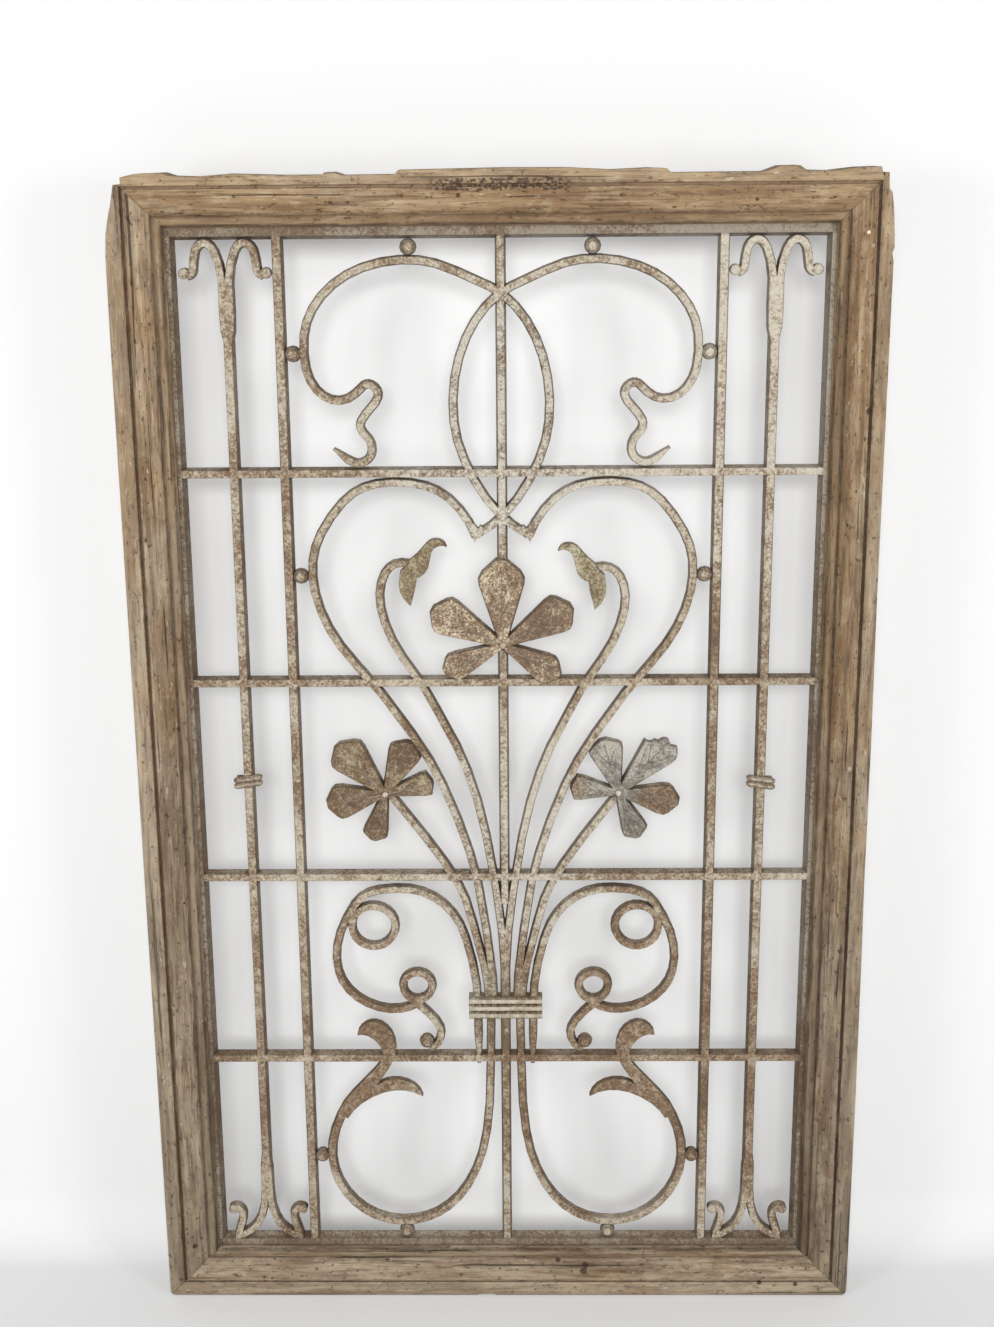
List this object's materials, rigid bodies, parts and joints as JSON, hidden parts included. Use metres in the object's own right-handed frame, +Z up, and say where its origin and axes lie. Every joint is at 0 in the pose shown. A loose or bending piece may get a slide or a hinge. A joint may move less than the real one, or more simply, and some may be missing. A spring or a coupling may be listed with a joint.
{
  "type": "framed cast iron grille",
  "caption": "Ornamental cast iron grille with scrolls, stems and flowers, held in a moulded timber frame, worn and flaking.",
  "frame": {"origin": "centre of the base of the timber frame, midway between its front and back faces", "axes": "+Z up along the height, the moulded front faces -Y, +X to the right seen from the front"},
  "size_m": [0.962, 0.062, 1.5515],
  "materials": {
    "old_iron": "old flaking cream paint over rust",
    "old_timber": "weathered, with traces of old paint",
    "rusty_steel": "rusted"
  },
  "bodies": {
    "root": {"cast_grille": "old_iron", "top_rail": "old_timber", "bottom_rail": "old_timber", "left_stile": "old_timber", "right_stile": "old_timber", "grille_screws": "rusty_steel", "mitre_nails": "rusty_steel"}
  },
  "joints": []
}
